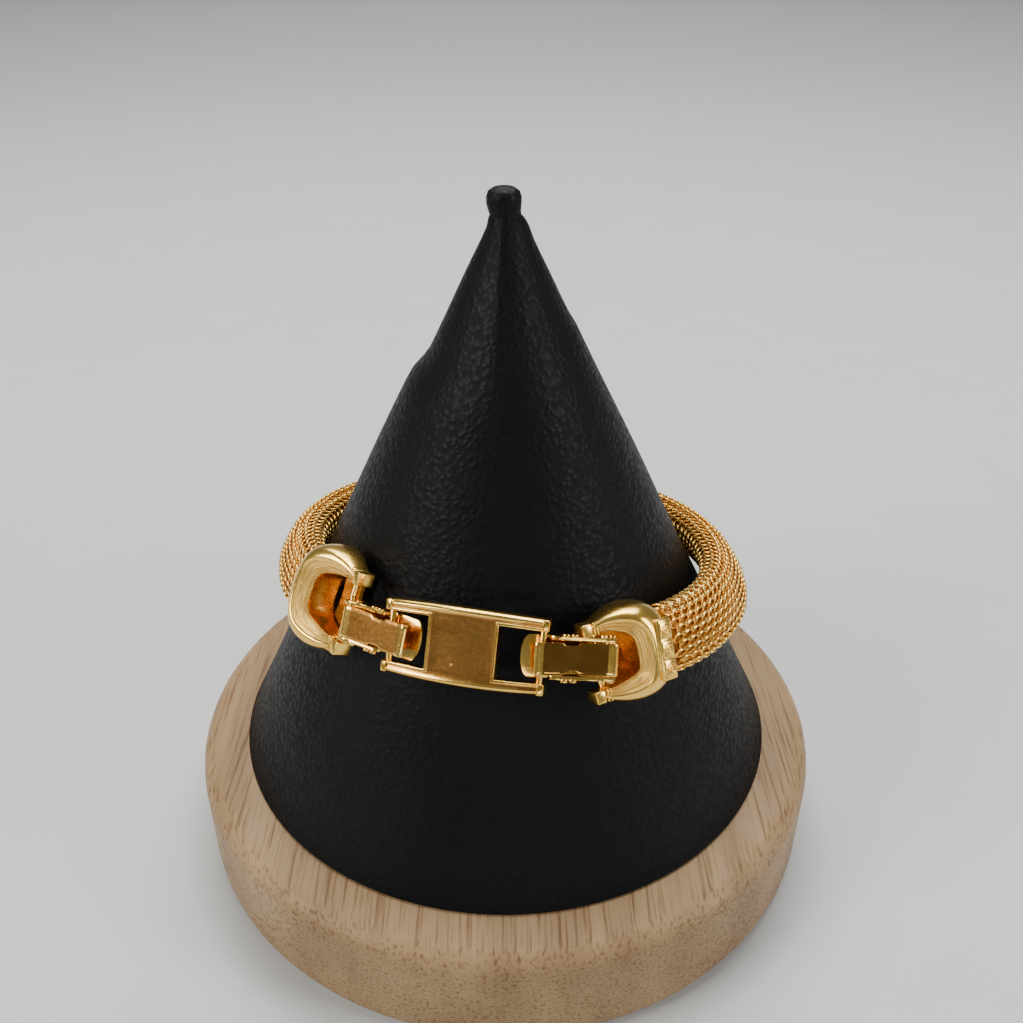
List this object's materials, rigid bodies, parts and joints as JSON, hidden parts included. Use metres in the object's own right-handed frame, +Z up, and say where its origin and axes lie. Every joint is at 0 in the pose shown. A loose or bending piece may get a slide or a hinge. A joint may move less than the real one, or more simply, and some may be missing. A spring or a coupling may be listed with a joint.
{
  "type": "mesh bracelet on a display cone",
  "caption": "Ring-mesh bracelet with cast end caps and a fold-over clasp, fastened round its leather-covered display cone on a wooden disc.",
  "frame": {"origin": "middle of the disc's underside, which is the bottom centre of the part", "axes": "+Z up along the cone, -Y to the front, where the clasp's centre plate faces, +X to the viewer's right"},
  "size_m": [0.105, 0.105, 0.1084],
  "materials": {
    "bamboo": "bare sanded bamboo with long fibres",
    "black_leather": "soft pebbled black leather",
    "gold_mesh": "polished gold-tone wire rings",
    "polished_gold": "polished gold-tone casting with file marks",
    "plate_gold": "gold-tone plate with fine wear",
    "cover_gold": "polished gold-tone sheet",
    "pin_gold": "polished gold-tone pins and leaves"
  },
  "bodies": {
    "root": {"stand_disc": "bamboo", "stand_cone": "black_leather", "mesh_band": "gold_mesh", "cap_left": "polished_gold", "cap_right": "polished_gold", "cap_pin_left": "pin_gold", "cap_pin_right": "pin_gold", "centre_plate": "plate_gold", "plate_pin_left": "pin_gold", "plate_pin_right": "pin_gold", "link_base_left": "pin_gold", "link_base_right": "pin_gold", "cover_pin_left": "pin_gold", "cover_pin_right": "pin_gold"},
    "cover_left": {"link_cover_left": "cover_gold"},
    "cover_right": {"link_cover_right": "cover_gold"}
  },
  "joints": [
    {"name": "cover_left_hinge", "type": "hinge", "parent": "root", "child": "cover_left", "pos_m": [-0.02187, -0.02458, 0.05511], "axis": [-0.2008, -0.4488, -0.8708], "range_deg": [0, 100]},
    {"name": "cover_right_hinge", "type": "hinge", "parent": "root", "child": "cover_right", "pos_m": [0.01403, -0.03308, 0.055], "axis": [0.061, 0.5065, 0.8601], "range_deg": [0, 100]}
  ]
}
